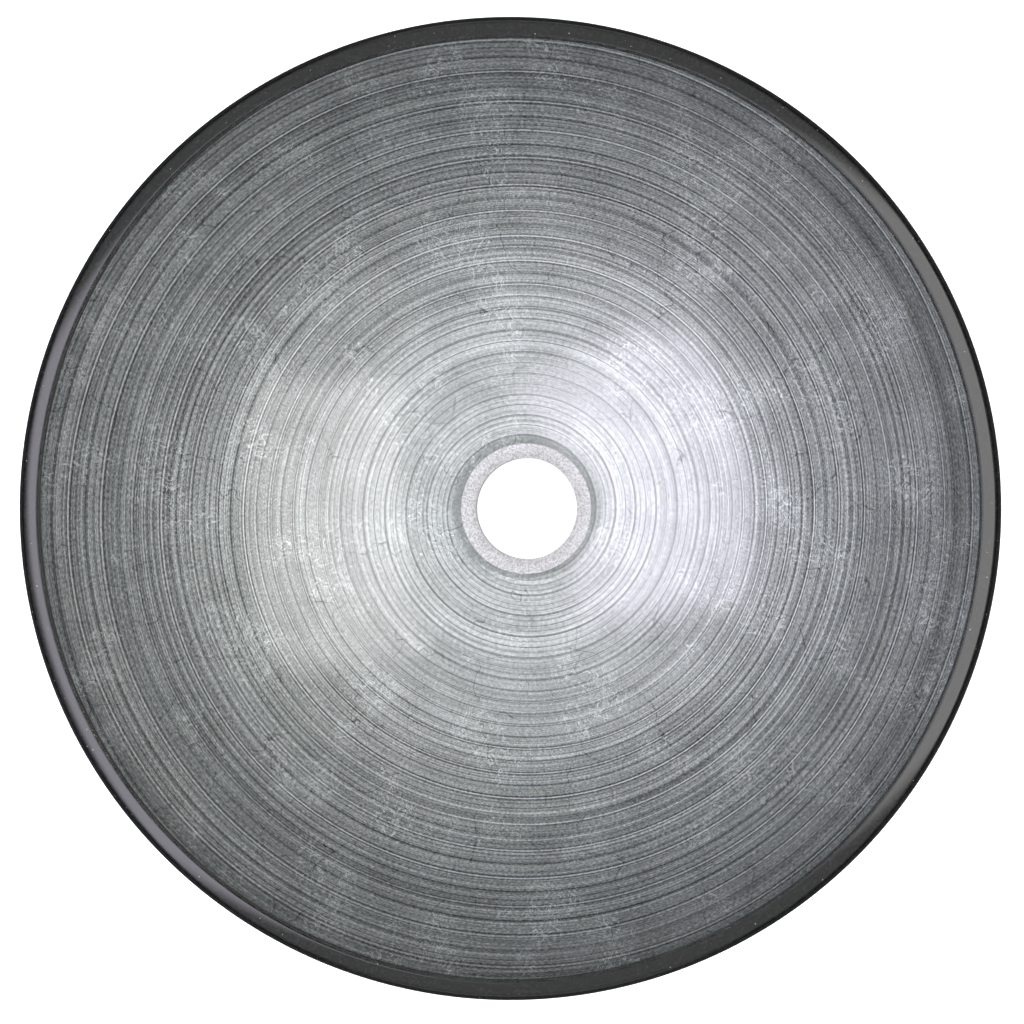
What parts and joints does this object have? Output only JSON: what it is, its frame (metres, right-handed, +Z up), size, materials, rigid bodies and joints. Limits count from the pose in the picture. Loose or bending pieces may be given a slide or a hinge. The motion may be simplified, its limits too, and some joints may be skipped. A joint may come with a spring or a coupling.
{
  "type": "glass vessel basin",
  "caption": "Round clear-glass vessel basin with brushed silver leaf and a black coat on its back, on a metal mounting ring with rubber gaskets.",
  "frame": {"origin": "on the counter, on the drain hole's axis, at the underside of the lower gasket", "axes": "+Z up along the axis of the bowl; the bowl is round, so X and Y are free"},
  "size_m": [0.4201, 0.42, 0.1554],
  "materials": {
    "clear_glass": "fire-polished inside, ground and polished rim, fine-ground drain seat",
    "silver_leaf": "silver-coloured leaf brushed in fine rings, seen through the glass",
    "black_coat": "gloss black lacquer",
    "ring_chrome": "polished chrome plate",
    "gasket_rubber": "matt moulded"
  },
  "bodies": {
    "root": {"glass_bowl": "clear_glass", "silver_leaf": "silver_leaf", "black_back_coat": "black_coat", "mounting_ring": "ring_chrome", "upper_gasket": "gasket_rubber", "lower_gasket": "gasket_rubber"}
  },
  "joints": []
}
